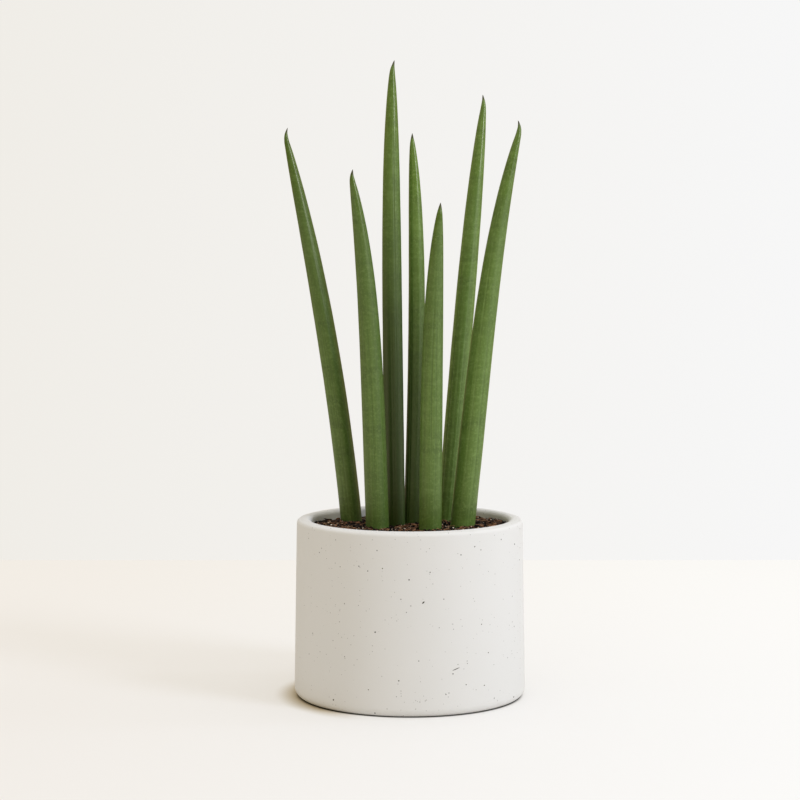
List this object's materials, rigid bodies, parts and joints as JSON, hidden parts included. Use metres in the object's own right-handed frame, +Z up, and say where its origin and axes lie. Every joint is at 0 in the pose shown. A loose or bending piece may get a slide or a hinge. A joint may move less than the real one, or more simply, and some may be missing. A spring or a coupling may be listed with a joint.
{
  "type": "potted mikado snake plant",
  "caption": "Upright snake plant with slender, round, pointed leaves that fan out of dark soil in a plain, finely speckled, thick-walled cylindrical pot.",
  "frame": {"origin": "centre of the flat face that the pot stands on", "axes": "+Z up, out of the soil along the leaves; +X to the right and +Y away from the viewer of the picture"},
  "size_m": [0.1292, 0.123, 0.3365],
  "materials": {
    "pot": "matte",
    "soil": "matte",
    "rootstock": "matte",
    "leaf": "satin"
  },
  "bodies": {
    "root": {"pot": "pot", "soil": "soil", "rootstock": "rootstock", "leaf_1": "leaf", "leaf_2": "leaf", "leaf_3": "leaf", "leaf_4": "leaf", "leaf_5": "leaf", "leaf_6": "leaf", "leaf_7": "leaf"}
  },
  "joints": []
}
